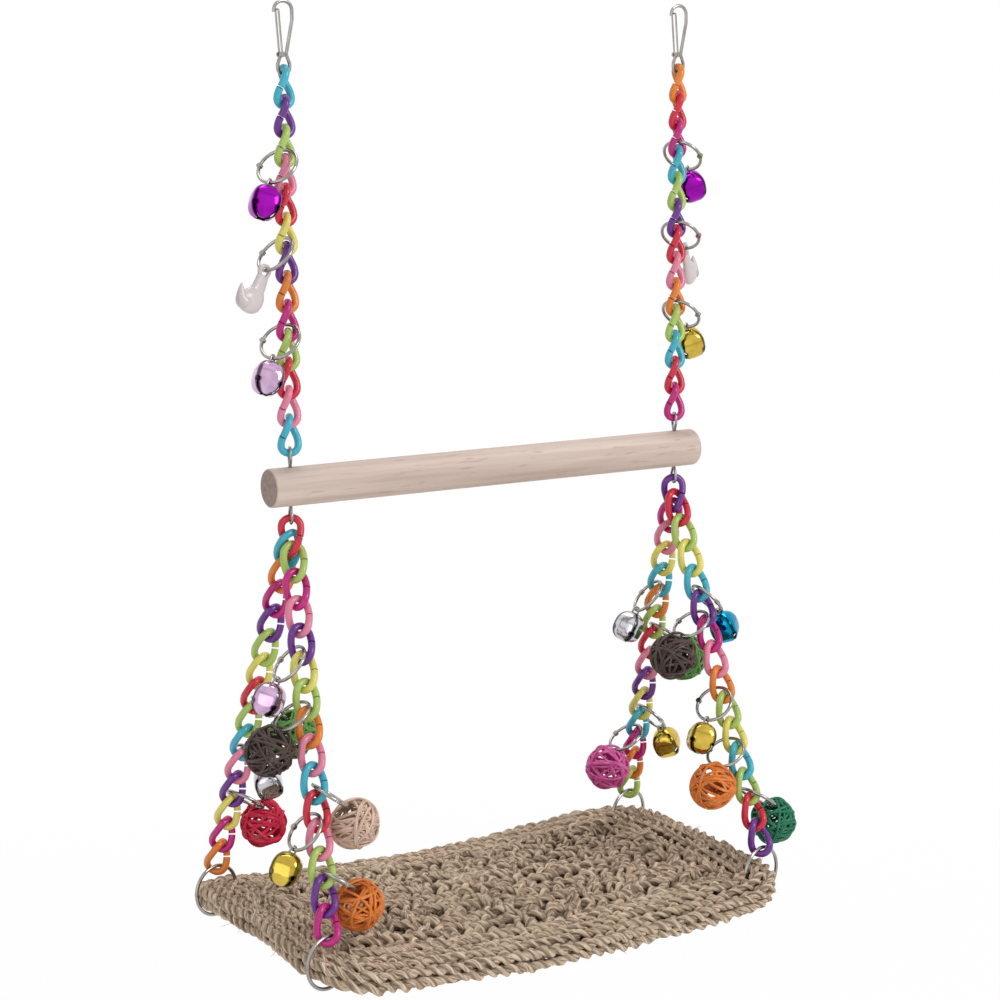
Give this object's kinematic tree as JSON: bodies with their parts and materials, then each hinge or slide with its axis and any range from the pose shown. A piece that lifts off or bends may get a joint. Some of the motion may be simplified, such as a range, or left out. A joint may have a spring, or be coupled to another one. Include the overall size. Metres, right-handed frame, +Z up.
{
  "type": "hanging bird swing",
  "caption": "Hanging bird swing: wooden dowel perch on coloured twisted link chains, with a plaited seagrass mat below, snap hooks, jingle bells and open rattan balls.",
  "frame": {"origin": "midway between the two snap hooks, at the height of the bar that they hang on", "axes": "+X along the perch to the right, -Y to the front, +Z up"},
  "size_m": [0.3597, 0.2, 0.5387],
  "materials": {
    "steel": "bright plated wire",
    "link_cyan": "gloss",
    "link_purple": "gloss",
    "link_lime": "gloss",
    "link_pink": "gloss",
    "link_red": "gloss",
    "link_yellow": "gloss",
    "link_orange": "gloss",
    "link_magenta": "gloss",
    "perch_wood": "plain sanded",
    "eye_wire": "drawn wire",
    "seagrass": "plaited seagrass",
    "bell_purple": "polished lacquer",
    "charm_white": "gloss",
    "bell_rose": "polished lacquer",
    "bell_gold": "polished lacquer",
    "rattan_brown": "dyed rattan",
    "rattan_natural": "dyed rattan",
    "rattan_orange": "dyed rattan",
    "rattan_green": "dyed rattan",
    "bell_silver": "polished lacquer",
    "rattan_red": "dyed rattan",
    "rattan_pink": "dyed rattan",
    "bell_blue": "polished lacquer",
    "rattan_forest": "dyed rattan"
  },
  "bodies": {
    "hooks": {"left_hook": "steel", "right_hook": "steel"},
    "left_gate": {"left_gate": "steel"},
    "right_gate": {"right_gate": "steel"},
    "left_lead_link": {"left_lead_link": "link_cyan"},
    "right_lead_link": {"right_lead_link": "link_orange"},
    "left_chain": {"left_links_purple": "link_purple", "left_links_lime": "link_lime", "left_links_pink": "link_pink", "left_links_red": "link_red", "left_links_yellow": "link_yellow", "left_links_orange": "link_orange", "left_links_magenta": "link_magenta", "left_links_cyan": "link_cyan", "left_toy_rings": "steel"},
    "right_chain": {"right_links_red": "link_red", "right_links_magenta": "link_magenta", "right_links_cyan": "link_cyan", "right_links_lime": "link_lime", "right_links_purple": "link_purple", "right_links_pink": "link_pink", "right_links_orange": "link_orange", "right_toy_rings": "steel"},
    "perch": {"perch_dowel": "perch_wood", "eye_pins": "eye_wire"},
    "mat_frame": {"lower_links_red": "link_red", "lower_links_purple": "link_purple", "lower_links_lime": "link_lime", "lower_links_magenta": "link_magenta", "lower_links_pink": "link_pink", "lower_links_yellow": "link_yellow", "lower_links_orange": "link_orange", "lower_links_cyan": "link_cyan", "lower_toy_rings": "steel", "corner_rings": "steel", "mat": "seagrass"},
    "upper_left_purple_bell": {"upper_left_purple_bell": "bell_purple"},
    "upper_left_white_charm": {"upper_left_white_charm": "charm_white"},
    "upper_left_rose_bell": {"upper_left_rose_bell": "bell_rose"},
    "upper_right_purple_bell": {"upper_right_purple_bell": "bell_purple"},
    "upper_right_white_charm": {"upper_right_white_charm": "charm_white"},
    "upper_right_gold_bell": {"upper_right_gold_bell": "bell_gold"},
    "front_left_rose_bell": {"front_left_rose_bell": "bell_rose"},
    "front_left_brown_ball": {"front_left_brown_ball": "rattan_brown"},
    "front_left_natural_ball": {"front_left_natural_ball": "rattan_natural"},
    "front_left_gold_bell": {"front_left_gold_bell": "bell_gold"},
    "front_left_orange_ball": {"front_left_orange_ball": "rattan_orange"},
    "back_left_green_ball": {"back_left_green_ball": "rattan_green"},
    "back_left_silver_bell": {"back_left_silver_bell": "bell_silver"},
    "back_left_red_ball": {"back_left_red_ball": "rattan_red"},
    "back_right_silver_bell": {"back_right_silver_bell": "bell_silver"},
    "back_right_green_ball": {"back_right_green_ball": "rattan_green"},
    "back_right_gold_bell": {"back_right_gold_bell": "bell_gold"},
    "back_right_pink_ball": {"back_right_pink_ball": "rattan_pink"},
    "front_right_blue_bell": {"front_right_blue_bell": "bell_blue"},
    "front_right_brown_ball": {"front_right_brown_ball": "rattan_brown"},
    "front_right_gold_bell": {"front_right_gold_bell": "bell_gold"},
    "front_right_orange_ball": {"front_right_orange_ball": "rattan_orange"},
    "front_right_forest_ball": {"front_right_forest_ball": "rattan_forest"}
  },
  "joints": [
    {"name": "left_gate_hinge", "type": "hinge", "parent": "hooks", "child": "left_gate", "pos_m": [-0.1326, 0, -0.0275], "axis": [0, 1, 0], "range_deg": [0, 16], "stiffness_Nm_per_rad": 0.002},
    {"name": "right_gate_hinge", "type": "hinge", "parent": "hooks", "child": "right_gate", "pos_m": [0.1294, 0, -0.0275], "axis": [0, 1, 0], "range_deg": [0, 16], "stiffness_Nm_per_rad": 0.002},
    {"name": "swing", "type": "hinge", "parent": "hooks", "child": "left_lead_link", "pos_m": [-0.131, 0, -0.038], "axis": [1, 0, 0], "range_deg": [-35, 35]},
    {"name": "right_swing", "type": "hinge", "parent": "hooks", "child": "right_lead_link", "pos_m": [0.131, 0, -0.038], "axis": [1, 0, 0], "range_deg": [-35, 35]},
    {"name": "side_sway", "type": "hinge", "parent": "left_lead_link", "child": "left_chain", "pos_m": [-0.131, 0, -0.0505], "axis": [0, 1, 0], "range_deg": [-12, 12]},
    {"name": "right_side_sway", "type": "hinge", "parent": "right_lead_link", "child": "right_chain", "pos_m": [0.131, 0, -0.0505], "axis": [0, 1, 0], "range_deg": [-12, 12]},
    {"name": "perch_level", "type": "hinge", "parent": "left_chain", "child": "perch", "pos_m": [-0.131, 0, -0.2426], "axis": [0, 1, 0], "range_deg": [-12, 12]},
    {"name": "mat_sway", "type": "hinge", "parent": "perch", "child": "mat_frame", "pos_m": [0, 0, -0.2822], "axis": [1, 0, 0], "range_deg": [-20, 20]},
    {"name": "upper_left_purple_bell_swing", "type": "hinge", "parent": "left_chain", "child": "upper_left_purple_bell", "pos_m": [-0.14433, -0.00769, -0.09579], "axis": [-0.5, 0.866, 0], "range_deg": [0, 45]},
    {"name": "upper_left_white_charm_swing", "type": "hinge", "parent": "left_chain", "child": "upper_left_white_charm", "pos_m": [-0.14605, -0.0032, -0.14349], "axis": [-0.2079, 0.9781, 0], "range_deg": [0, 45]},
    {"name": "upper_left_rose_bell_swing", "type": "hinge", "parent": "left_chain", "child": "upper_left_rose_bell", "pos_m": [-0.14433, -0.00769, -0.19119], "axis": [-0.5, 0.866, 0], "range_deg": [0, 45]},
    {"name": "upper_right_purple_bell_swing", "type": "hinge", "parent": "right_chain", "child": "upper_right_purple_bell", "pos_m": [0.14433, 0.00769, -0.09579], "axis": [0.5, -0.866, 0], "range_deg": [0, 45]},
    {"name": "upper_right_white_charm_swing", "type": "hinge", "parent": "right_chain", "child": "upper_right_white_charm", "pos_m": [0.14361, 0.00883, -0.14349], "axis": [0.5736, -0.8192, 0], "range_deg": [0, 45]},
    {"name": "upper_right_gold_bell_swing", "type": "hinge", "parent": "right_chain", "child": "upper_right_gold_bell", "pos_m": [0.14459, 0.00723, -0.19119], "axis": [0.4695, -0.8829, 0], "range_deg": [0, 45]},
    {"name": "front_left_rose_bell_swing", "type": "hinge", "parent": "mat_frame", "child": "front_left_rose_bell", "pos_m": [-0.1509, -0.01936, -0.369], "axis": [0.0349, 0.9994, 0], "range_deg": [0, 45]},
    {"name": "front_left_brown_ball_swing", "type": "hinge", "parent": "mat_frame", "child": "front_left_brown_ball", "pos_m": [-0.15687, -0.02989, -0.39423], "axis": [0, 1, 0], "range_deg": [0, 34]},
    {"name": "front_left_natural_ball_swing", "type": "hinge", "parent": "mat_frame", "child": "front_left_natural_ball", "pos_m": [-0.12313, -0.0475, -0.43792], "axis": [-0.1392, -0.9903, 0], "range_deg": [0, 34]},
    {"name": "front_left_gold_bell_swing", "type": "hinge", "parent": "mat_frame", "child": "front_left_gold_bell", "pos_m": [-0.15837, -0.05122, -0.45638], "axis": [-0.0872, 0.9962, 0], "range_deg": [0, 45]},
    {"name": "front_left_orange_ball_swing", "type": "hinge", "parent": "mat_frame", "child": "front_left_orange_ball", "pos_m": [-0.12675, -0.05855, -0.48161], "axis": [0.0698, -0.9976, 0], "range_deg": [0, 34]},
    {"name": "back_left_green_ball_swing", "type": "hinge", "parent": "mat_frame", "child": "back_left_green_ball", "pos_m": [-0.12025, 0.03325, -0.40594], "axis": [-0.0872, -0.9962, 0], "range_deg": [0, 34]},
    {"name": "back_left_silver_bell_swing", "type": "hinge", "parent": "mat_frame", "child": "back_left_silver_bell", "pos_m": [-0.12715, 0.0502, -0.4399], "axis": [0.342, -0.9397, 0], "range_deg": [0, 45]},
    {"name": "back_left_red_ball_swing", "type": "hinge", "parent": "mat_frame", "child": "back_left_red_ball", "pos_m": [-0.126, 0.05985, -0.46606], "axis": [0.2588, -0.9659, 0], "range_deg": [0, 34]},
    {"name": "back_right_silver_bell_swing", "type": "hinge", "parent": "mat_frame", "child": "back_right_silver_bell", "pos_m": [0.12065, 0.02388, -0.369], "axis": [0.2588, 0.9659, 0], "range_deg": [0, 45]},
    {"name": "back_right_green_ball_swing", "type": "hinge", "parent": "mat_frame", "child": "back_right_green_ball", "pos_m": [0.15682, 0.02857, -0.39423], "axis": [-0.0698, -0.9976, 0], "range_deg": [0, 34]},
    {"name": "back_right_gold_bell_swing", "type": "hinge", "parent": "mat_frame", "child": "back_right_gold_bell", "pos_m": [0.15843, 0.04988, -0.45638], "axis": [0, -1, 0], "range_deg": [0, 45]},
    {"name": "back_right_pink_ball_swing", "type": "hinge", "parent": "mat_frame", "child": "back_right_pink_ball", "pos_m": [0.12545, 0.05487, -0.46705], "axis": [0, 1, 0], "range_deg": [0, 34]},
    {"name": "front_right_blue_bell_swing", "type": "hinge", "parent": "mat_frame", "child": "front_right_blue_bell", "pos_m": [0.15049, -0.02089, -0.36475], "axis": [-0.0698, -0.9976, 0], "range_deg": [0, 45]},
    {"name": "front_right_brown_ball_swing", "type": "hinge", "parent": "mat_frame", "child": "front_right_brown_ball", "pos_m": [0.11766, -0.02649, -0.37588], "axis": [-0.0872, 0.9962, 0], "range_deg": [0, 34]},
    {"name": "front_right_gold_bell_swing", "type": "hinge", "parent": "mat_frame", "child": "front_right_gold_bell", "pos_m": [0.12568, -0.04467, -0.42487], "axis": [-0.309, 0.9511, 0], "range_deg": [0, 45]},
    {"name": "front_right_orange_ball_swing", "type": "hinge", "parent": "mat_frame", "child": "front_right_orange_ball", "pos_m": [0.1252, -0.0564, -0.45103], "axis": [-0.342, 0.9397, 0], "range_deg": [0, 34]},
    {"name": "front_right_forest_ball_swing", "type": "hinge", "parent": "mat_frame", "child": "front_right_forest_ball", "pos_m": [0.16415, -0.05738, -0.48109], "axis": [0.1392, -0.9903, 0], "range_deg": [0, 34]}
  ],
  "couplings": [
    {"joint": "right_swing", "follows": "swing", "ratio": 1},
    {"joint": "right_side_sway", "follows": "side_sway", "ratio": 1},
    {"joint": "perch_level", "follows": "side_sway", "ratio": -1}
  ]
}
